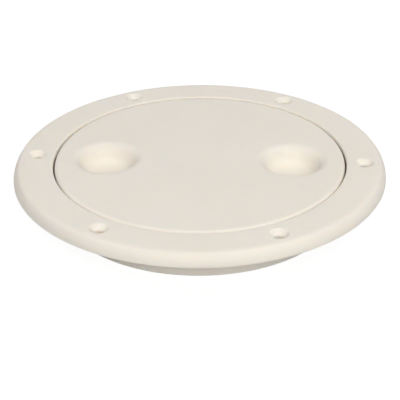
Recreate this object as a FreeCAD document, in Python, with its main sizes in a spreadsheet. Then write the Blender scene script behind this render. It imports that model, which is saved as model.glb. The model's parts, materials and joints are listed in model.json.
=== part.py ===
import FreeCAD, Part
import math
import os
from types import SimpleNamespace

import Sketcher

# A round screw-out inspection plate for a deck: a flanged ring that is screwed down round a hole,
# a lid that screws flush into it, and the seal between them. Millimetres, +Z up. The origin lies
# on the axis, in the plane of the deck, so the flange stands above it and the collar hangs below.

SIZES = {
    # the collar that drops through the hole in the deck
    "collar_radius": 78.4,
    "collar_wall": 3.1,
    "collar_depth": 19.8,
    # the pocket for the lid, stepped out from the collar's bore by the shelf for the seal
    "shelf_width": 5.55,
    "pocket_wall": 2.4,
    "pocket_chamfer": 0.7,
    # the flange outside the pocket
    "flange_width": 21.65,
    "flange_height": 7.0,
    "flange_skin": 2.8,
    "rim_shoulder_radius": 3.2,
    "rim_side_lean": 1.38,
    "rim_wall": 2.6,
    # the six screws that hold it down
    "screw_count": 6,
    "screw_edge_distance": 12.0,
    "screw_hole_diameter": 5.1,
    "countersink_diameter": 10.4,
    "countersink_angle": 90.0,
    "screw_pad_width": 12.8,
    "flange_rib_thickness": 1.8,
    # the lid
    "lid_gap": 0.9,
    "lid_skin": 2.6,
    "lid_chamfer": 0.9,
    "lid_turned_by": 1.7,
    "neck_gap": 0.4,
    "neck_length": 5.2,
    "thread_height": 1.7,
    "skirt_wall": 2.4,
    "skirt_end_gap": 3.6,
    # the finger hollows
    "finger_count": 2,
    "finger_edge_distance": 28.7,
    "finger_mouth_radius": 20.4,
    "finger_lip_width": 3.86,
    "finger_lip_drop": 1.4,
    "finger_foot_radius": 11.2,
    "finger_foot_chamfer": 3.9,
    "finger_depth": 12.4,
    "finger_wall": 2.4,
    # the ribs under the lid
    "spoke_count": 6,
    "rib_thickness": 1.8,
    "rib_depth": 4.5,
    # the seal
    "seal_height": 2.5,
    "seal_width": 3.2,
    "seal_side_gap": 0.5,
}

# how far a rib or cup runs into the wall that carries it, so that the two are one moulding
ROOT = 0.5
# how far a cutting outline stands past the face that it opens
OVERSHOOT = 1.0
FULL_TURN = 360.0

doc = FreeCAD.newDocument("inspection_plate")
sheet = doc.addObject("Spreadsheet::Sheet", "sizes")


class Size:
    """A value together with the formula that gives it from the cells of the sheet."""

    def __init__(self, value, formula):
        self.value = value
        self.formula = formula

    def __add__(self, other):
        return combine(self, "+", other)

    def __sub__(self, other):
        return combine(self, "-", other)

    def __rsub__(self, other):
        return combine(other, "-", self)

    def __mul__(self, other):
        return combine(self, "*", other)

    def __truediv__(self, other):
        return combine(self, "/", other)

    def __rtruediv__(self, other):
        return combine(other, "/", self)

    def __neg__(self):
        return combine(0.0, "-", self)


def as_size(number):
    """A plain number as a Size, and a Size as it is."""
    if isinstance(number, Size):
        return number
    return Size(number, str(number))


def combine(first, sign, second):
    """The two sizes added, subtracted, multiplied or divided, in value and in formula."""
    first = as_size(first)
    second = as_size(second)
    results = {
        "+": first.value + second.value,
        "-": first.value - second.value,
        "*": first.value * second.value,
        "/": first.value / second.value if second.value else math.inf,
    }
    return Size(results[sign], f"({first.formula} {sign} {second.formula})")


def fill_sheet():
    """Puts each driving size into a cell with its name, and returns them as named sizes."""
    named = {}
    for row, (name, value) in enumerate(SIZES.items(), start=1):
        sheet.set(f"A{row}", name)
        sheet.set(f"B{row}", str(value))
        sheet.setAlias(f"B{row}", name)
        named[name] = Size(value, f"sizes.{name}")
    return SimpleNamespace(**named)


dim = fill_sheet()


def origin_feature(body, role):
    """The body's own origin plane or axis that has this role."""
    for feature in body.Origin.OriginFeatures:
        if feature.Role == role:
            return feature
    raise LookupError(role)


def bind(feature, name, size):
    """Ties one property of a feature to the sheet."""
    feature.setExpression(name, as_size(size).formula)


def new_body(name):
    """A body whose label names its file."""
    body = doc.addObject("PartDesign::Body", name)
    body.Label = name
    return body


def new_sketch(body, name, role, across=0.0, height=0.0, turn=0.0):
    """A sketch on one of the body's origin planes, moved across it or off it, or turned in it."""
    sketch = body.newObject("Sketcher::SketchObject", name)
    sketch.AttachmentSupport = [(origin_feature(body, role), "")]
    sketch.MapMode = "FlatFace"
    place = FreeCAD.Vector(as_size(across).value, 0, as_size(height).value)
    spin = FreeCAD.Rotation(FreeCAD.Vector(0, 0, 1), as_size(turn).value)
    sketch.AttachmentOffset = FreeCAD.Placement(place, spin)
    for part_of_offset, size in (("Base.x", across), ("Base.z", height), ("Rotation.Angle", turn)):
        if isinstance(size, Size):
            bind(sketch, f"AttachmentOffset.{part_of_offset}", size)
    return sketch


def hold_point(sketch, edge, end, across, up):
    """Fixes one end of a sketched edge at sizes from the sketch's origin."""
    for kind, size in (("DistanceX", as_size(across)), ("DistanceY", as_size(up))):
        number = sketch.addConstraint(Sketcher.Constraint(kind, -1, 1, edge, end, size.value))
        bind(sketch, f"Constraints[{number}]", size)


def arc_between(start, end, radius, side):
    """The short arc from start to end; side is 1 where it turns left and -1 where it turns right."""
    chord = end - start
    half = chord.Length / 2
    height = math.sqrt(max(radius * radius - half * half, 0.0))
    left = FreeCAD.Vector(-chord.y, chord.x, 0).normalize()
    centre = (start + end) * 0.5 + left * (height * side)
    angles = [math.atan2(p.y - centre.y, p.x - centre.x) for p in (start, end)]
    if side < 0:
        angles.reverse()
    circle = Part.Circle(centre, FreeCAD.Vector(0, 0, 1), radius)
    return Part.ArcOfCircle(circle, angles[0], angles[1])


def draw_outline(sketch, steps):
    """A closed outline. Each step is a corner (across, up), and a corner that is reached by an arc
    has the arc's radius and the side that it turns to as well."""
    points = [FreeCAD.Vector(as_size(s[0]).value, as_size(s[1]).value, 0) for s in steps]
    ends = []
    for number, step in enumerate(steps):
        before = points[number - 1]
        here = points[number]
        if len(step) == 2:
            edge = sketch.addGeometry(Part.LineSegment(before, here), False)
            ends.append((edge, 1, 2))
        else:
            radius, side = step[2:]
            edge = sketch.addGeometry(arc_between(before, here, as_size(radius).value, side), False)
            ends.append((edge, 1, 2) if side > 0 else (edge, 2, 1))
    for number, (edge, _, last) in enumerate(ends):
        follower, first, _ = ends[(number + 1) % len(ends)]
        sketch.addConstraint(Sketcher.Constraint("Coincident", edge, last, follower, first))
        hold_point(sketch, edge, last, steps[number][0], steps[number][1])
        if len(steps[number]) > 2:
            radius = as_size(steps[number][2])
            held = sketch.addConstraint(Sketcher.Constraint("Radius", edge, radius.value))
            bind(sketch, f"Constraints[{held}]", radius)


def draw_circle(sketch, across, radius):
    """A circle whose centre lies on the sketch's own X axis."""
    radius = as_size(radius)
    centre = FreeCAD.Vector(as_size(across).value, 0, 0)
    edge = sketch.addGeometry(Part.Circle(centre, FreeCAD.Vector(0, 0, 1), radius.value), False)
    held = sketch.addConstraint(Sketcher.Constraint("Radius", edge, radius.value))
    bind(sketch, f"Constraints[{held}]", radius)
    hold_point(sketch, edge, 3, across, 0.0)


def turned(body, kind, name, steps, across=0.0):
    """A Revolution or a Groove of an outline about the sketch's own upright axis."""
    sketch = new_sketch(body, f"{name}_outline", "XZ_Plane", across=across)
    draw_outline(sketch, steps)
    feature = body.newObject(f"PartDesign::{kind}", name)
    feature.Profile = sketch
    feature.ReferenceAxis = (sketch, ["V_Axis"])
    feature.Angle = FULL_TURN
    sketch.Visibility = False
    doc.recompute()
    return feature


def repeated(body, name, features, count):
    """Copies of the features, evenly spaced round the body's axis."""
    pattern = body.newObject("PartDesign::PolarPattern", name)
    pattern.Originals = features
    pattern.Axis = (origin_feature(body, "Z_Axis"), [""])
    pattern.Angle = FULL_TURN
    pattern.Occurrences = int(count.value)
    bind(pattern, "Occurrences", count)
    body.Tip = pattern
    doc.recompute()
    return pattern


def rib(body, name, first, last, thickness, foot, top, turn):
    """A straight rib along a radius, from one radius to another and from its foot to its top."""
    sketch = new_sketch(body, f"{name}_plan", "XY_Plane", height=foot, turn=turn)
    half = thickness / 2
    draw_outline(sketch, [(first, -half), (last, -half), (last, half), (first, half)])
    return padded(body, name, sketch, top - foot)


def padded(body, name, sketch, length):
    """A Pad of the sketch, upward by the length."""
    pad = body.newObject("PartDesign::Pad", name)
    pad.Profile = sketch
    pad.Length = length.value
    bind(pad, "Length", length)
    sketch.Visibility = False
    body.Tip = pad
    doc.recompute()
    return pad


# Heights and radii that more than one piece is fitted to.
top = dim.flange_height
deck = as_size(0.0)
lid_underside = top - dim.lid_skin
shelf = lid_underside - dim.seal_height
collar_end = -dim.collar_depth
bore_radius = dim.collar_radius - dim.collar_wall
pocket_radius = bore_radius + dim.shelf_width
neck_radius = bore_radius - dim.neck_gap


def build_deck_ring():
    """The ring that is screwed to the deck: flange, pocket for the lid, seal shelf and collar."""
    body = new_body("deck_ring")

    # The rim's section is two arcs: a tight one at the shoulder and a wide one down the side. The
    # wide arc's radius follows from touching the shoulder's arc and standing upright at its foot.
    flange_radius = pocket_radius + dim.flange_width
    shoulder = dim.rim_shoulder_radius
    rim_width = shoulder + dim.rim_side_lean
    rise = top - shoulder
    side = (rise * rise / dim.rim_side_lean + shoulder + rim_width) / 2
    reach = side / (side - shoulder)
    meet_across = flange_radius - side + reach * (side - rim_width)
    meet_up = reach * rise
    ceiling = top - dim.flange_skin
    pocket_outside = pocket_radius + dim.pocket_wall
    rim_inside = flange_radius - dim.rim_wall
    turned(
        body,
        "Revolution",
        "ring_section",
        [
            (pocket_radius + dim.pocket_chamfer, top),
            (pocket_radius, top - dim.pocket_chamfer),
            (pocket_radius, shelf),
            (bore_radius, shelf),
            (bore_radius, collar_end),
            (dim.collar_radius, collar_end),
            (dim.collar_radius, deck),
            (pocket_outside, deck),
            (pocket_outside, ceiling),
            (rim_inside, ceiling),
            (rim_inside, deck),
            (flange_radius, deck),
            (meet_across, meet_up, side, 1),
            (flange_radius - rim_width, top, shoulder, 1),
        ],
    )

    # Each screw passes through a solid pad that joins the two walls, and between one pad and the
    # next a rib joins them as well.
    for name, width, turn in (
        ("screw_pad", dim.screw_pad_width, as_size(0.0)),
        ("flange_rib", dim.flange_rib_thickness, FULL_TURN / 2 / dim.screw_count),
    ):
        web = rib(body, name, pocket_outside - ROOT, rim_inside + ROOT, width, deck, ceiling + ROOT, turn)
        repeated(body, f"{name}s", [web], dim.screw_count)

    # The holes are countersunk from above for flat-head screws.
    hole_plan = new_sketch(body, "hole_plan", "XY_Plane", height=top)
    draw_circle(hole_plan, flange_radius - dim.screw_edge_distance, dim.screw_hole_diameter / 2)
    doc.recompute()
    hole = body.newObject("PartDesign::Hole", "screw_hole")
    hole.Profile = hole_plan
    hole.Threaded = False
    hole.DepthType = "ThroughAll"
    hole.Diameter = dim.screw_hole_diameter.value
    hole.HoleCutType = "Countersink"
    hole.HoleCutCustomValues = True
    hole.HoleCutDiameter = dim.countersink_diameter.value
    hole.HoleCutCountersinkAngle = dim.countersink_angle.value
    bind(hole, "Diameter", dim.screw_hole_diameter)
    bind(hole, "HoleCutDiameter", dim.countersink_diameter)
    bind(hole, "HoleCutCountersinkAngle", dim.countersink_angle)
    hole_plan.Visibility = False
    doc.recompute()
    repeated(body, "screw_holes", [hole], dim.screw_count)
    return body


def build_screw_lid():
    """The lid: a flush disc with two finger hollows, a neck for the seal and a skirt."""
    body = new_body("screw_lid")
    lid_radius = pocket_radius - dim.lid_gap
    skirt_radius = neck_radius - dim.thread_height
    skirt_end = collar_end + dim.skirt_end_gap
    skirt_inside = skirt_radius - dim.skirt_wall
    neck_end = lid_underside - dim.neck_length

    # The skirt stands back from the neck by the height of the thread that it carries.
    turned(
        body,
        "Revolution",
        "lid_section",
        [
            (0.0, lid_underside),
            (skirt_inside, lid_underside),
            (skirt_inside, skirt_end),
            (skirt_radius, skirt_end),
            (skirt_radius, neck_end - dim.thread_height),
            (neck_radius, neck_end),
            (neck_radius, lid_underside),
            (lid_radius, lid_underside),
            (lid_radius, top - dim.lid_chamfer),
            (lid_radius - dim.lid_chamfer, top),
            (0.0, top),
        ],
    )

    # A finger hollow is a deep dish. Its lip rolls over from the lid's face into a steep wall, and a
    # wide chamfer leads the wall into the floor. The moulding follows it as a cup on the underside.
    finger_circle_radius = lid_radius - dim.finger_edge_distance
    lip_inside = dim.finger_mouth_radius - dim.finger_lip_width
    lip_foot = top - dim.finger_lip_drop
    lip_squares = dim.finger_lip_width * dim.finger_lip_width + dim.finger_lip_drop * dim.finger_lip_drop
    lip_radius = lip_squares / 2 / dim.finger_lip_drop
    taper = (lip_inside - dim.finger_foot_radius) / (dim.finger_depth - dim.finger_lip_drop)
    chamfer = dim.finger_foot_chamfer
    floor = top - dim.finger_depth
    cup_foot = floor - dim.finger_wall
    cup_foot_radius = dim.finger_foot_radius + dim.finger_wall * (1 - taper)
    cup_mouth = lid_underside + ROOT
    cup = turned(
        body,
        "Revolution",
        "finger_cup",
        [
            (0.0, cup_foot),
            (cup_foot_radius - chamfer, cup_foot),
            (cup_foot_radius + taper * chamfer, cup_foot + chamfer),
            (cup_foot_radius + taper * (cup_mouth - cup_foot), cup_mouth),
            (0.0, cup_mouth),
        ],
        across=finger_circle_radius,
    )
    dish = turned(
        body,
        "Groove",
        "finger_dish",
        [
            (0.0, floor),
            (dim.finger_foot_radius - chamfer, floor),
            (dim.finger_foot_radius + taper * chamfer, floor + chamfer),
            (lip_inside, lip_foot),
            (dim.finger_mouth_radius, top, lip_radius, -1),
            (dim.finger_mouth_radius, top + OVERSHOOT),
            (0.0, top + OVERSHOOT),
        ],
        across=finger_circle_radius,
    )
    repeated(body, "finger_hollows", [cup, dish], dim.finger_count)

    # Spokes stiffen the underside, clear of the two cups.
    spoke = rib(
        body,
        "spoke",
        0.0,
        skirt_inside + ROOT,
        dim.rib_thickness,
        lid_underside - dim.rib_depth,
        lid_underside + ROOT,
        FULL_TURN / 2 / dim.spoke_count,
    )
    repeated(body, "spokes", [spoke], dim.spoke_count)

    # The hollows stand a little out of line with the screw holes when the lid is tight.
    axis = FreeCAD.Vector(0, 0, 1)
    body.Placement = FreeCAD.Placement(
        FreeCAD.Vector(0, 0, 0), FreeCAD.Rotation(axis, dim.lid_turned_by.value)
    )
    bind(body, "Placement.Rotation.Angle", dim.lid_turned_by)
    return body


def build_seal_ring():
    """The square-cut rubber ring round the lid's neck, pressed between the lid and the shelf."""
    body = new_body("seal_ring")
    inside = neck_radius + dim.seal_side_gap
    outside = inside + dim.seal_width
    outline = [(inside, shelf), (outside, shelf), (outside, lid_underside), (inside, lid_underside)]
    turned(body, "Revolution", "seal_section", outline)
    return body


pieces = [build_deck_ring(), build_screw_lid(), build_seal_ring()]
doc.recompute()

for item in doc.Objects:
    if "Invalid" in item.State or "Error" in item.State:
        raise RuntimeError(f"{item.Label} failed: {item.State}")

os.makedirs("parts", exist_ok=True)
for piece in pieces:
    shape = piece.Shape
    if shape.isNull() or not shape.isValid() or len(shape.Solids) != 1:
        raise RuntimeError(f"{piece.Label} is not one sound solid")
    shape.exportStep(f"parts/{piece.Label}.step")
    box = shape.optimalBoundingBox(False)
    print(f"{piece.Label}: {box.XLength:.2f} x {box.YLength:.2f} x {box.ZLength:.2f}, {shape.Volume:.0f} mm3")
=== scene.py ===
import json
import math

import bmesh
import bpy
import numpy as np
from mathutils import Matrix, Vector


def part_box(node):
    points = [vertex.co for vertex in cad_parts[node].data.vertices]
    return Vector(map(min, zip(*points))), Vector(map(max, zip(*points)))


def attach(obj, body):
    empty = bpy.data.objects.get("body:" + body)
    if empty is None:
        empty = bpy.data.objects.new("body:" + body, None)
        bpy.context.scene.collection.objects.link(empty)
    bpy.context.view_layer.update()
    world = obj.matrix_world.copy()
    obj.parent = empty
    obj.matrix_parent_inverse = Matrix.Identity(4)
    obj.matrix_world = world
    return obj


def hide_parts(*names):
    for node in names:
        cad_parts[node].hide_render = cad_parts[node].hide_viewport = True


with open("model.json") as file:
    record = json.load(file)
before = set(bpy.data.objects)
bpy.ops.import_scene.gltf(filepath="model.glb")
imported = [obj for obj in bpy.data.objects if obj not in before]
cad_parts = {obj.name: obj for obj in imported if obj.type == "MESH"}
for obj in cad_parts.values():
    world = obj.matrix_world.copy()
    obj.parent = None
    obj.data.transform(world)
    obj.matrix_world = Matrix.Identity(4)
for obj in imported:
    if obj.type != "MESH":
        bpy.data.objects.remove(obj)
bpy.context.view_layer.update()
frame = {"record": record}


# The plastic of the ring and the lid: warm white, UV-proof and injection-moulded, so its skin has
# the mould's matt satin. Its colour is faintly clouded, its skin has a fine grain, and a warm dark
# painted shade darkens it deep in the gap round the lid.

MM = 0.001


class Value:
    """A shader socket that can be written in sums. Each operator adds one Math node."""

    def __init__(self, nodes, socket):
        self.nodes = nodes
        self.socket = socket

    def math(self, operation, *values):
        """What one Math node makes of these values."""
        return self.nodes.add("ShaderNodeMath", {"operation": operation}, dict(enumerate(values)))

    def __add__(self, other):
        return self.math("ADD", self, other)

    def __sub__(self, other):
        return self.math("SUBTRACT", self, other)

    def __rsub__(self, other):
        return self.math("SUBTRACT", other, self)

    def __mul__(self, other):
        return self.math("MULTIPLY", self, other)

    __radd__ = __add__
    __rmul__ = __mul__


class Nodes:
    """A node tree whose nodes are all made by one method and read as values."""

    def __init__(self, tree):
        self.tree = tree

    def add(self, kind, settings=None, inputs=None, output=0):
        """One node: its settings first, then its sockets by number or name. Returns an output."""
        node = self.tree.nodes.new(kind)
        for name, setting in (settings or {}).items():
            setattr(node, name, setting)
        for key, given in (inputs or {}).items():
            self.put(node.inputs[key], given)
        return Value(self, node.outputs[output])

    def put(self, socket, given):
        """A value linked to a socket, or a number or colour written in it."""
        if isinstance(given, Value):
            self.tree.links.new(given.socket, socket)
        else:
            socket.default_value = given

    def noise(self, size, detail=2.0):
        """Soft noise from 0 to 1, its patches about this many metres across."""
        place = self.add("ShaderNodeTexCoord", output="Object")
        inputs = {"Vector": place, "Scale": 1 / size, "Detail": detail}
        return self.add("ShaderNodeTexNoise", inputs=inputs)

    def between(self, value, low, high):
        """How far a value is on its way from low to high: 0 before, 1 after, and smooth between."""
        ends = {"Value": value, "From Min": low, "From Max": high}
        return self.add("ShaderNodeMapRange", {"interpolation_type": "SMOOTHSTEP"}, ends)

    def mix(self, share, first, second):
        """Two colours mixed by a share from 0 to 1. A colour's Mix node takes the share in socket 0
        and the colours in sockets 6 and 7, and gives the mixed colour as output 2."""
        inputs = {0: share, 6: first, 7: second}
        return self.add("ShaderNodeMix", {"data_type": "RGBA"}, inputs, output=2)

    def bump(self, height, depth):
        """A bump whose full height is this many metres deep."""
        return self.add("ShaderNodeBump", inputs={"Strength": 1.0, "Distance": depth, "Height": height})


def new_material(name):
    """A material, its nodes, and its shader's sockets."""
    material = bpy.data.materials.new(name)
    material.use_nodes = True
    return material, Nodes(material.node_tree), material.node_tree.nodes["Principled BSDF"].inputs


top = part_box("deck_ring")[1].z
lid_radius = 79.95 * MM
lid_gap = 0.9 * MM
pocket_radius = lid_radius + lid_gap

plastic_colour = (0.866, 0.813, 0.730, 1.0)
cloud_colour = (0.854, 0.799, 0.712, 1.0)
cloud_size = 50 * MM
cloud_start, cloud_full = 0.35, 0.70
satin_roughness, satin_spread = 0.56, 0.10
satin_size = 20 * MM
fine_grain, coarse_grain = 0.45 * MM, 3 * MM
fine_share = 0.6
grain_depth = 0.012 * MM

plastic, nodes, shader = new_material("warm_white_plastic")
clouds = nodes.between(nodes.noise(cloud_size, detail=3.0), cloud_start, cloud_full)
colour = nodes.mix(clouds, plastic_colour, cloud_colour)
roughness = satin_roughness + satin_spread * nodes.noise(satin_size, detail=4.0)
grain = fine_share * nodes.noise(fine_grain) + (1 - fine_share) * nodes.noise(coarse_grain, detail=3.0)

# The painted shade in the gap is a mask of place: it darkens the colour between the lid's edge and
# the pocket's wall, reaches a hair into the skin of both, and grows with its depth below the lid's
# face, where the gap's shade falls.
# Painted shade: a warm dark colour painted deep in the gap round the lid, in patches.
gap_shade_colour = (0.300, 0.228, 0.158, 1.0)
gap_shade_start, gap_shade_full = 2.0 * MM, 4.4 * MM
gap_shade_reach, gap_shade_fade = 0.05 * MM, 0.25 * MM
gap_shade_least, gap_shade_spread = 0.45, 0.5
gap_shade_size = 6 * MM

place = nodes.add("ShaderNodeTexCoord", output="Object")
axes = nodes.add("ShaderNodeSeparateXYZ", inputs={"Vector": place}).socket.node
across, along, height = (Value(nodes, axes.outputs[axis]) for axis in "XYZ")
radius = nodes.add("ShaderNodeMath", {"operation": "SQRT"}, {0: across * across + along * along})
lid_skin, pocket_skin = lid_radius - gap_shade_reach, pocket_radius + gap_shade_reach
past_lid = nodes.between(radius, lid_skin - gap_shade_fade, lid_skin)
past_pocket = nodes.between(radius, pocket_skin, pocket_skin + gap_shade_fade)
deep = 1 - nodes.between(height, top - gap_shade_full, top - gap_shade_start)
shade_patches = gap_shade_least + gap_shade_spread * nodes.noise(gap_shade_size)
painted_gap_shade = past_lid * (1 - past_pocket) * deep * shade_patches

# The base colour is the clouded plastic, mixed towards the painted gap shade deep between lid and
# pocket.
nodes.put(shader["Base Color"], nodes.mix(painted_gap_shade, colour, gap_shade_colour))
nodes.put(shader["Roughness"], roughness)
nodes.put(shader["Normal"], nodes.bump(grain, grain_depth))
shader["IOR"].default_value = 1.46
shader["Subsurface Weight"].default_value = 0.6
shader["Subsurface Radius"].default_value = (1.0, 0.8, 0.55)
shader["Subsurface Scale"].default_value = 1.2 * MM


# Deck ring: the half that is screwed down, one plastic moulding. A flange with a bullnose rim has
# six countersunk holes, each through a solid pad in its hollow underside. A pocket takes the lid
# flush, and a plain collar drops through the hole in the deck.

FULL_TURN = 2 * math.pi
QUARTER_TURN = math.pi / 2
WIDE_COLUMNS = 360
NARROW_COLUMNS = 64
CORNER_STEPS = 6

mounts = {mount["name"]: mount for mount in frame["record"]["mounts"]}
screws = mounts["screw_circle"]["dims"]
screw_circle = screws["pcd_mm"] / 2 * MM
screw_hole_radius = screws["hole_r_mm"] * MM
screw_count = screws["count"]

deck = 0.0
rim_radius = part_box("deck_ring")[1].x
collar_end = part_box("deck_ring")[0].z
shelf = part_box("seal_ring")[0].z
collar_radius = mounts["collar"]["dims"]["r_mm"] * MM
collar_wall = 3.1 * MM
pocket_wall = 2.4 * MM
rim_wall = 2.6 * MM
flange_wall = 2.8 * MM
pad_width = 12.8 * MM
flange_rib_width = 1.8 * MM
bore_radius = collar_radius - collar_wall
pocket_outside = pocket_radius + pocket_wall
rim_inside = rim_radius - rim_wall
ceiling = top - flange_wall

pocket_mouth_round = 0.9 * MM
shelf_round = 0.2 * MM
edge_round = 0.3 * MM
collar_round = 0.5 * MM
hollow_round = 0.8 * MM
foot_round = 0.15 * MM
sharp_turn = math.radians(32)
weld_reach = 0.0005 * MM

# A form that is added reaches into the wall that carries it, and one that cuts stands out past the
# skin.
into_wall = 0.4 * MM
past_skin = 1.0 * MM


def arc(centre, radius, start, end, count):
    """Points on a circle: centre + radius (cos a, sin a) for count angles a from start to end."""
    turn = np.linspace(start, end, count)
    return np.stack([centre[0] + radius * np.cos(turn), centre[1] + radius * np.sin(turn)], axis=1)


def rounded(corners):
    """A closed outline whose corners (across, up, radius) are arcs that touch both their sides: an
    arc's centre lies on its corner's bisector, radius / sin(half the corner's angle) away."""
    spots = np.array([corner[:2] for corner in corners])
    radii = np.array([corner[2] for corner in corners])[:, None]
    back = np.roll(spots, 1, axis=0) - spots
    on = np.roll(spots, -1, axis=0) - spots
    back /= np.linalg.norm(back, axis=1, keepdims=True)
    on /= np.linalg.norm(on, axis=1, keepdims=True)
    half = np.arccos(np.clip((back * on).sum(axis=1, keepdims=True), -1, 1)) / 2
    bisector = (back + on) / np.linalg.norm(back + on, axis=1, keepdims=True)
    centre = spots + bisector * radii / np.sin(half)
    first = (spots + back * radii / np.tan(half) - centre)[:, None]
    last = (spots + on * radii / np.tan(half) - centre)[:, None]
    spread = (math.pi - 2 * half)[..., None]
    share = np.linspace(0, 1, CORNER_STEPS)[None, :, None]
    swept = (np.sin((1 - share) * spread) * first + np.sin(share * spread) * last) / np.sin(spread)
    return (centre[:, None] + swept).reshape(-1, 2)


def welded(mesh):
    """A mesh with its doubles merged, which closes seams and poles, and its faces turned outward."""
    form = bmesh.new()
    form.from_mesh(mesh)
    bmesh.ops.remove_doubles(form, verts=form.verts, dist=weld_reach)
    bmesh.ops.recalc_face_normals(form, faces=form.faces)
    form.to_mesh(mesh)
    form.free()
    return mesh


def closed_mesh(verts, faces):
    """A closed mesh from its points and faces."""
    mesh = bpy.data.meshes.new("form")
    mesh.from_pydata(verts.tolist(), [], faces)
    return welded(mesh)


def grid_faces(rows, columns, rows_meet):
    """The faces between the points of a grid, whose numbers are row * columns + column. The last
    column meets the first, and so does the last row if the rows are to meet."""
    strips = rows if rows_meet else rows - 1
    row, column = np.meshgrid(np.arange(strips), np.arange(columns), indexing="ij")
    next_row, next_column = (row + 1) % rows, (column + 1) % columns
    corners = [row * columns + column, next_row * columns + column]
    corners += [next_row * columns + next_column, row * columns + next_column]
    return np.stack(corners, axis=-1).reshape(-1, 4).tolist()


def turned(outline, columns, centre=(0.0, 0.0)):
    """A closed outline (across, up) turned about an upright axis: at angle a a point of it lies at
    centre + across (cos a, sin a), and keeps its height."""
    turn = np.arange(columns) / columns * FULL_TURN
    across, up = outline[:, :1], outline[:, 1:]
    spots = [centre[0] + across * np.cos(turn), centre[1] + across * np.sin(turn), up + 0 * turn]
    faces = grid_faces(len(outline), columns, rows_meet=True)
    return closed_mesh(np.stack(spots, axis=-1).reshape(-1, 3), faces)


def spun(flat, turn):
    """Flat points (x, y) turned about the plate's axis by an angle a: each goes to
    (x cos a - y sin a, x sin a + y cos a)."""
    cosine, sine = math.cos(turn), math.sin(turn)
    return np.array(flat) @ np.array([[cosine, sine], [-sine, cosine]])


def upright(plan, low, high):
    """A flat outline carried straight up from low to high."""
    count = len(plan)
    levels = [np.column_stack([plan, np.full(count, level)]) for level in (low, high)]
    sides = [[k, (k + 1) % count, (k + 1) % count + count, k + count] for k in range(count)]
    caps = [list(range(count))[::-1], list(range(count, 2 * count))]
    return closed_mesh(np.vstack(levels), sides + caps)


def gathered(meshes):
    """Closed meshes that don't touch, as one."""
    form = bmesh.new()
    for mesh in meshes:
        form.from_mesh(mesh)
    whole = bpy.data.meshes.new("gathered")
    form.to_mesh(whole)
    form.free()
    return whole


def as_piece(name, data):
    """A mesh, lamp or camera as an object of the scene."""
    piece = bpy.data.objects.new(name, data)
    bpy.context.collection.objects.link(piece)
    return piece


def moulded(body, added, cut):
    """A mesh as one mould leaves it: the added forms grown into it and the cut forms taken out."""
    stock = as_piece("stock", body)
    tools = [as_piece("added", added), as_piece("cut", cut)]
    for tool, operation in zip(tools, ("UNION", "DIFFERENCE")):
        step = stock.modifiers.new(operation, "BOOLEAN")
        step.operation = operation
        step.solver = "EXACT"
        step.object = tool
    depsgraph = bpy.context.evaluated_depsgraph_get()
    shaped = bpy.data.meshes.new_from_object(stock.evaluated_get(depsgraph))
    for form in (stock, *tools):
        bpy.data.objects.remove(form)
    return welded(shaped)


def dressed(name, mesh, material, body):
    """A piece with smooth skin, crisp edges where the form really turns and flat faces kept flat,
    in its material, on the body that it moves with."""
    mesh.polygons.foreach_set("use_smooth", np.ones(len(mesh.polygons), dtype=bool))
    mesh.set_sharp_from_angle(angle=sharp_turn)
    mesh.materials.clear()
    mesh.materials.append(material)
    piece = as_piece(name, mesh)
    flat = piece.modifiers.new("flat_faces_stay_flat", "WEIGHTED_NORMAL")
    flat.keep_sharp = True
    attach(piece, body)
    return piece


# The rim is three arcs that touch, each given by its radius and by how far its skin has turned over
# from level where it ends: a wide crown, a tight shoulder, and a side that stands upright at the
# deck. The side's radius is what the height leaves for it.
crown_radius, crown_end, crown_steps = 10.0 * MM, math.radians(12), 6
shoulder_radius, shoulder_end, shoulder_steps = 3.0 * MM, math.radians(50), 10
side_steps = 16
side_drop = top - crown_radius * (1 - math.cos(crown_end))
side_drop -= shoulder_radius * (math.cos(crown_end) - math.cos(shoulder_end))
side_radius = side_drop / math.cos(shoulder_end)
side_centre = (rim_radius - side_radius, deck)
shoulder_centre = (
    side_centre[0] + (side_radius - shoulder_radius) * math.sin(shoulder_end),
    side_centre[1] + (side_radius - shoulder_radius) * math.cos(shoulder_end),
)
crown_centre = (
    shoulder_centre[0] - (crown_radius - shoulder_radius) * math.sin(crown_end),
    top - crown_radius,
)
side_foot = 2 * foot_round
side_start = math.asin(side_foot / side_radius)
shoulder_start = QUARTER_TURN - shoulder_end
crown_start = QUARTER_TURN - crown_end

# The last two corners only show their neighbours the way, and the rim's arcs take their place.
ring_section = np.vstack([
    rounded([
        (pocket_radius, top, pocket_mouth_round),
        (pocket_radius, shelf, shelf_round),
        (bore_radius, shelf, edge_round),
        (bore_radius, collar_end, collar_round),
        (collar_radius, collar_end, edge_round),
        (collar_radius, deck, collar_round),
        (pocket_outside, deck, edge_round),
        (pocket_outside, ceiling, hollow_round),
        (rim_inside, ceiling, hollow_round),
        (rim_inside, deck, edge_round),
        (rim_radius, deck, foot_round),
        (rim_radius, deck + side_foot, 0.0),
        (crown_centre[0], top, 0.0),
    ])[:-2 * CORNER_STEPS],
    arc(side_centre, side_radius, side_start, shoulder_start, side_steps),
    arc(shoulder_centre, shoulder_radius, shoulder_start, crown_start, shoulder_steps)[1:],
    arc(crown_centre, crown_radius, crown_start, QUARTER_TURN, crown_steps)[1:],
])

# Pads and ribs take turns round the flange's hollow, a pad under each screw hole.
near, far = pocket_outside - into_wall, rim_inside + into_wall
webs = []
for number in range(2 * screw_count):
    width = flange_rib_width if number % 2 else pad_width
    plan = [(near, -width / 2), (far, -width / 2), (far, width / 2), (near, width / 2)]
    webs.append(upright(spun(plan, number / screw_count * math.pi), deck, ceiling + into_wall))

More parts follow.
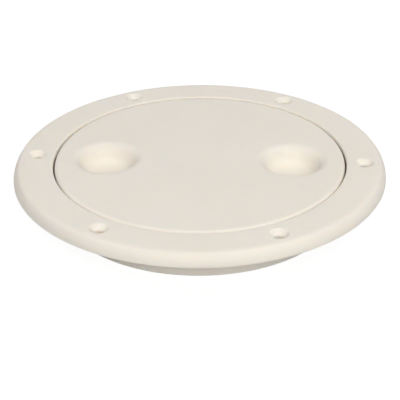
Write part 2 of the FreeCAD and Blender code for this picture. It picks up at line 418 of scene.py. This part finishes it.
# A hole's wall and 90 degree cone, a round where they meet, and a mouth that rolls over into the
# flange's face. The outline bends by 45 degrees at both, and a round reaches its radius times the
# tangent of half the bend from its corner.
countersink_radius = 5.2 * MM
countersink_bend = math.radians(45)
mouth_roll, foot_roll = 0.45 * MM, 1.5 * MM
roll_steps = 7
roll_reach = math.tan(countersink_bend / 2)
cone_end = top - (countersink_radius - screw_hole_radius)
foot_centre = (screw_hole_radius + foot_roll, cone_end - foot_roll * roll_reach)
mouth_centre = (countersink_radius + mouth_roll * roll_reach, top - mouth_roll)
hole_section = np.vstack([
    [(0.0, deck - past_skin), (screw_hole_radius, deck - past_skin)],
    arc(foot_centre, foot_roll, math.pi, math.pi - countersink_bend, roll_steps),
    arc(mouth_centre, mouth_roll, QUARTER_TURN + countersink_bend, QUARTER_TURN, roll_steps),
    [(mouth_centre[0], top + past_skin), (0.0, top + past_skin)],
])
holes = []
for number in range(screw_count):
    centre = spun((screw_circle, 0.0), number / screw_count * FULL_TURN)
    holes.append(turned(hole_section, NARROW_COLUMNS, centre))

ring_mesh = moulded(turned(ring_section, WIDE_COLUMNS), gathered(webs), gathered(holes))
ring = dressed("deck_ring_moulding", ring_mesh, plastic, "ring")
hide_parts("deck_ring")


# Ring thread: the right-hand ridge moulded on the collar's bore. It is a coarse trapezoid of five
# millimetres a turn, and runs out to nothing at both ends, so that the lid's thread finds its way.

pitch = 5.0 * MM
thread_turns = 1.75
thread_base = 2.6 * MM
thread_crest = 1.2 * MM
thread_height = 1.7 * MM
thread_sunk = 0.3 * MM
thread_edge = 0.25 * MM
run_out_turns = 0.25
run_out_width = 0.35
steps_per_turn = 120
ring_thread_lead = 4.3 * MM
ring_thread_start = collar_end + ring_thread_lead


def thread(root, reach, start, first_turn):
    """A trapezoid carried up a helix: after t turns its middle stands at start + pitch t, its base
    lies in the wall at the root radius and its crest, whose edges are chamfered, at root + reach.
    The reach grows smoothly from nothing over the run-out at its start and shrinks again over the
    one at its end, and the width with it."""
    turn = np.linspace(0, thread_turns, int(thread_turns * steps_per_turn) + 1)[:, None]
    full = np.clip(np.minimum(turn, thread_turns - turn) / run_out_turns, 0.0, 1.0)
    full = full * full * (3 - 2 * full)
    flank = (thread_base - thread_crest) / 2
    chamfer = thread_edge / thread_height
    half_height = np.array([
        thread_base / 2, thread_crest / 2 + flank * chamfer, thread_crest / 2 - thread_edge,
    ])
    reaches = np.array([0.0, reach * (1 - chamfer), reach])
    sunk = np.array([-math.copysign(thread_sunk, reach), 0.0, 0.0])
    half_height = np.concatenate([-half_height, half_height[::-1]])
    reaches = np.concatenate([reaches, reaches[::-1]])
    sunk = np.concatenate([sunk, sunk[::-1]])
    radius = root + sunk + reaches * full
    angle = (first_turn + turn) * FULL_TURN
    up = start + pitch * turn + half_height * (run_out_width + (1 - run_out_width) * full)
    spots = np.stack([radius * np.cos(angle), radius * np.sin(angle), up], axis=-1)
    steps, count = radius.shape
    ends = [list(range(count)), list(range((steps - 1) * count, steps * count))]
    return closed_mesh(spots.reshape(-1, 3), grid_faces(steps, count, rows_meet=False) + ends)


ring_thread_mesh = thread(bore_radius, -thread_height, ring_thread_start, 0.0)
dressed("ring_thread", ring_thread_mesh, plastic, "ring")


# Screw lid: the flush disc, one moulding in the same plastic. Two dished hollows take finger and
# thumb to turn it and stand as cups underneath, between six stiffening spokes. The neck carries
# the seal, and the skirt below it the thread.

lid_wall = 2.6 * MM
neck_play = 0.4 * MM
neck_height = 5.2 * MM
skirt_wall = 2.4 * MM
lid_underside = top - lid_wall
neck_radius = bore_radius - neck_play
neck_end = lid_underside - neck_height
skirt_radius = neck_radius - thread_height
skirt_inside = skirt_radius - skirt_wall
skirt_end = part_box("screw_lid")[0].z

lid_edge_round, lid_lower_round = 2.3 * MM, 0.25 * MM
neck_root_round, neck_round = 0.3 * MM, 0.4 * MM
skirt_lead_round, skirt_end_round, skirt_root_round = 0.8 * MM, 0.5 * MM, 1.0 * MM

lid_section = rounded([
    (0.0, lid_underside, 0.0),
    (skirt_inside, lid_underside, skirt_root_round),
    (skirt_inside, skirt_end, skirt_end_round),
    (skirt_radius, skirt_end, skirt_lead_round),
    (skirt_radius, neck_end - thread_height, neck_round),
    (neck_radius, neck_end, neck_round),
    (neck_radius, lid_underside, neck_root_round),
    (lid_radius, lid_underside, lid_lower_round),
    (lid_radius, top, lid_edge_round),
    (0.0, top, 0.0),
])

# A dish from its axis: a flat floor, a concave foot, a wall that leans out by the taper, and a lip
# that rolls over until it lies level with the lid's face. Wall and floor would meet at dish_corner
# without the foot. The cup underneath follows the dish, one wall away, so its foot has the same
# centre.
dish_from_edge = 28.7 * MM
dish_mouth = 20.4 * MM
dish_depth = 12.4 * MM
dish_lip = 6.0 * MM
dish_foot = 9.0 * MM
dish_taper = math.radians(20)
cup_wall = 2.4 * MM
dish_steps = 18
dish_floor = top - dish_depth
dish_corner = dish_mouth - dish_lip / math.cos(dish_taper)
dish_corner += math.tan(dish_taper) * (dish_floor + dish_lip - top)
foot_reach = math.tan((QUARTER_TURN - dish_taper) / 2)
dish_foot_centre = (dish_corner - dish_foot * foot_reach, dish_floor + dish_foot)
dish_lip_centre = (dish_mouth, top - dish_lip)
dish_section = np.vstack([
    [(0.0, dish_floor)],
    arc(dish_foot_centre, dish_foot, -QUARTER_TURN, -dish_taper, dish_steps),
    arc(dish_lip_centre, dish_lip, math.pi - dish_taper, QUARTER_TURN, dish_steps),
    [(dish_mouth, top + past_skin), (0.0, top + past_skin)],
])
cup_foot = dish_floor - cup_wall
cup_top = lid_underside + into_wall
cup_mouth = dish_corner + cup_wall * foot_reach + math.tan(dish_taper) * (cup_top - cup_foot)
cup_section = np.vstack([
    [(0.0, cup_foot)],
    arc(dish_foot_centre, dish_foot + cup_wall, -QUARTER_TURN, -dish_taper, dish_steps),
    [(cup_mouth, cup_top), (0.0, cup_top)],
])
dish_circle = lid_radius - dish_from_edge
dish_spots = ((dish_circle, 0.0), (-dish_circle, 0.0))
dishes = [turned(dish_section, 2 * NARROW_COLUMNS, spot) for spot in dish_spots]
cups = [turned(cup_section, 2 * NARROW_COLUMNS, spot) for spot in dish_spots]

# The spokes as one star: the ends of the arms stand in the skirt, and the corners between them
# near the axis, where the sides of neighbouring arms cross.
spoke_count = 6
spoke_width = 1.8 * MM
spoke_height = 4.5 * MM
arm = [(skirt_inside + into_wall, -spoke_width / 2), (skirt_inside + into_wall, spoke_width / 2)]
half_step = math.pi / spoke_count
corner = [(spoke_width / 2 / math.sin(half_step), 0.0)]
star = []
for number in range(spoke_count):
    star += [spun(arm, (2 * number + 1) * half_step), spun(corner, (2 * number + 2) * half_step)]
spokes = upright(np.vstack(star), lid_underside - spoke_height, lid_underside + into_wall)

# Screwed home, the lid stands 1.7 degrees past the line of two screw holes. This is its share of a
# turn.
lid_turned_by = 1.7 / 360

lid_mesh = moulded(turned(lid_section, WIDE_COLUMNS), gathered([*cups, spokes]), gathered(dishes))
lid_mesh.transform(Matrix.Rotation(lid_turned_by * FULL_TURN, 4, "Z"))
lid = dressed("screw_lid_moulding", lid_mesh, plastic, "lid")
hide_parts("screw_lid")


# Lid thread: the matching ridge moulded on the skirt. It runs between the turns of the ring's
# thread, close under their lower flanks, which draw the lid down on its seal as it is turned home.

lid_thread_lead = 3.64 * MM
lid_thread_start = skirt_end + lid_thread_lead

lid_thread_mesh = thread(skirt_radius, thread_height, lid_thread_start, lid_turned_by)
dressed("lid_thread", lid_thread_mesh, plastic, "lid")


# Seal ring: a square-cut ring of black rubber round the lid's neck, pressed between the lid and
# the ring's shelf. Its skin is matt, with a fine grain and a little dusty bloom. It stops a hair
# short of both faces, so that no two skins lie in one plane.

seal_low, seal_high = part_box("seal_ring")
seal_width = 3.2 * MM
seal_edge_round = 0.35 * MM
seal_play = 0.02 * MM
seal_outside = seal_high.x
seal_inside = seal_outside - seal_width
seal_foot, seal_top = seal_low.z + seal_play, seal_high.z - seal_play

rubber_colour = (0.020, 0.018, 0.016, 1.0)
bloom_colour = (0.056, 0.047, 0.037, 1.0)
bloom_size = 8 * MM
bloom_start, bloom_full = 0.45, 0.75
matt_roughness, matt_spread = 0.55, 0.2
matt_size = 4 * MM
rubber_grain, rubber_grain_depth = 0.4 * MM, 0.02 * MM

rubber, nodes, shader = new_material("black_rubber")
bloom = nodes.between(nodes.noise(bloom_size, detail=4.0), bloom_start, bloom_full)
nodes.put(shader["Base Color"], nodes.mix(bloom, rubber_colour, bloom_colour))
nodes.put(shader["Roughness"], matt_roughness + matt_spread * nodes.noise(matt_size))
nodes.put(shader["Normal"], nodes.bump(nodes.noise(rubber_grain), rubber_grain_depth))

seal_section = rounded([
    (seal_inside, seal_foot, seal_edge_round),
    (seal_outside, seal_foot, seal_edge_round),
    (seal_outside, seal_top, seal_edge_round),
    (seal_inside, seal_top, seal_edge_round),
])
seal = dressed("seal_ring_rubber", turned(seal_section, WIDE_COLUMNS), rubber, "seal")
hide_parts("seal_ring")


# Floor and light: the plate stands on a pale floor in a light tent. The main lamps stand low in
# front, softer ones at its sides and behind it, and the tent's walls lift the shadows a little.
# Floor and tent are white to look at, but light the plate with less than that.

white = (1.0, 1.0, 1.0, 1.0)
floor_reach = 3.0
floor_play = 0.05 * MM
floor_colour = (0.45, 0.45, 0.45, 1.0)
floor_glow = 1.5
floor_glow_share = 0.6
tent_strength = 0.164
lamp_reach = 1.8
lamp_size = 0.8


def seen_itself(nodes):
    """1 for a ray that shows the surface itself, straight, in a gloss or through glass, and else 0."""
    rays = nodes.add("ShaderNodeLightPath").socket.node.outputs
    seen = Value(nodes, rays["Is Camera Ray"])
    for kind in ("Is Glossy Ray", "Is Transmission Ray"):
        either = {0: seen, 1: Value(nodes, rays[kind])}
        seen = nodes.add("ShaderNodeMath", {"operation": "MAXIMUM"}, either)
    return seen


floor_corners = floor_reach * np.array([(-1.0, -1.0), (1.0, -1.0), (1.0, 1.0), (-1.0, 1.0)])
floor_verts = np.column_stack([floor_corners, np.full(4, collar_end - floor_play)])
floor = as_piece("floor", bpy.data.meshes.new("floor"))
floor.data.from_pydata(floor_verts.tolist(), [], [[0, 1, 2, 3]])
floor_paint, nodes, shader = new_material("pale_floor")
shader["Base Color"].default_value = floor_colour
shader["Roughness"].default_value = 0.9
paint = Value(nodes, floor_paint.node_tree.nodes["Principled BSDF"].outputs[0])
glow = nodes.add("ShaderNodeEmission", inputs={"Color": white, "Strength": floor_glow})
glow_share = floor_glow_share * seen_itself(nodes)
both = nodes.add("ShaderNodeMixShader", inputs={0: glow_share, 1: paint, 2: glow})
nodes.put(floor_paint.node_tree.nodes["Material Output"].inputs["Surface"], both)
floor.data.materials.append(floor_paint)

world = bpy.data.worlds.new("light_tent")
world.use_nodes = True
bpy.context.scene.world = world
nodes = Nodes(world.node_tree)
tent = world.node_tree.nodes["Background"].inputs
tent["Color"].default_value = white
nodes.put(tent["Strength"], tent_strength + (1.0 - tent_strength) * seen_itself(nodes))


def soft_lamp(name, turn, rise, power):
    """A square lamp that faces the plate: turned about it from the front, to the right, and raised
    from the level, both in degrees, with its power in watts."""
    light = bpy.data.lights.new(name, "AREA")
    light.shape = "SQUARE"
    light.size = lamp_size
    light.energy = power
    turn, rise = math.radians(turn), math.radians(rise)
    place = Vector((math.sin(turn) * math.cos(rise), -math.cos(turn) * math.cos(rise), math.sin(rise)))
    facing = (-place).to_track_quat("-Z", "Y").to_matrix().to_4x4()
    as_piece(name, light).matrix_world = Matrix.Translation(lamp_reach * place) @ facing


soft_lamp("front_lamp", turn=4, rise=28, power=12.5)
soft_lamp("front_right_lamp", turn=25, rise=28, power=5.0)
soft_lamp("high_front_lamp", turn=0, rise=42, power=1.8)
soft_lamp("left_lamp", turn=-90, rise=42, power=5.8)
soft_lamp("right_lamp", turn=90, rise=60, power=7.8)
soft_lamp("back_right_lamp", turn=130, rise=40, power=3.7)
soft_lamp("back_left_lamp", turn=-130, rise=40, power=1.3)


# Camera: at the photograph's viewing angle, a little to the right of the front and about 27
# degrees above the deck, aimed so that the plate lies as it does in the picture.

eye_height = math.radians(27.449)
eye_turn = math.radians(4.273)
eye_distance = 728.98 * MM
look_down = math.radians(29.249)
roll = math.radians(-0.489)

eye = Vector((
    eye_distance * math.cos(eye_height) * math.sin(eye_turn),
    -eye_distance * math.cos(eye_height) * math.cos(eye_turn),
    top + eye_distance * math.sin(eye_height),
))
forward = Vector((
    -math.sin(eye_turn) * math.cos(look_down),
    math.cos(eye_turn) * math.cos(look_down),
    -math.sin(look_down),
))
level = Vector((math.cos(eye_turn), math.sin(eye_turn), 0.0))
upward = level.cross(forward)
right = level * math.cos(roll) + upward * math.sin(roll)
up = upward * math.cos(roll) - level * math.sin(roll)

lens = bpy.data.cameras.new("camera")
lens.sensor_width = 36.0
lens.lens = 118.734
camera = as_piece("camera", lens)
camera.matrix_world = Matrix.Translation(eye) @ Matrix((right, up, -forward)).transposed().to_4x4()
bpy.context.scene.camera = camera
bpy.context.scene.view_settings.view_transform = "Standard"
